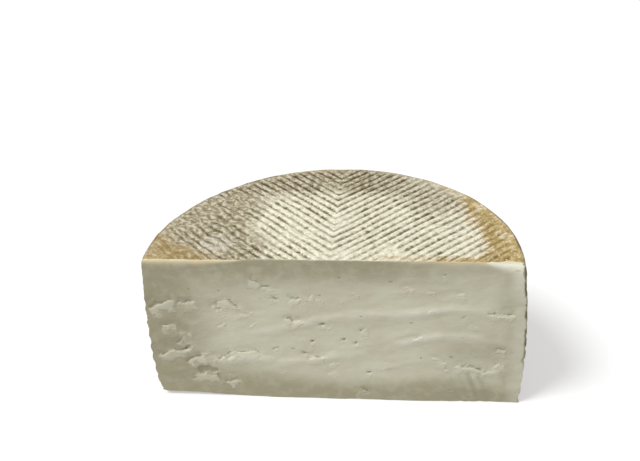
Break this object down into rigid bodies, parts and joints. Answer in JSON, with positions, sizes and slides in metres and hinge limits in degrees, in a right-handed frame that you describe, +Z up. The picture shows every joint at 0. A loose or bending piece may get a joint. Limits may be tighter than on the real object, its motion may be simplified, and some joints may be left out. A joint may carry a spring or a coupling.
{
  "type": "manchego half wheel",
  "caption": "Half of a pressed sheep's milk cheese wheel with a herringbone top, a banded side and a flat cut face with small openings.",
  "frame": {"origin": "under the middle of the half wheel's box, on the plane that its base rests on", "axes": "+Z up, -Y out of the cut face, +X to the right as the cut face is seen, along its length"},
  "size_m": [0.2, 0.1, 0.092],
  "materials": {
    "cheese": "pale ivory pressed cheese, matt to slightly waxy on the cut face, with a dry cream and tan rind"
  },
  "bodies": {
    "root": {"half_wheel": "cheese"}
  },
  "joints": []
}
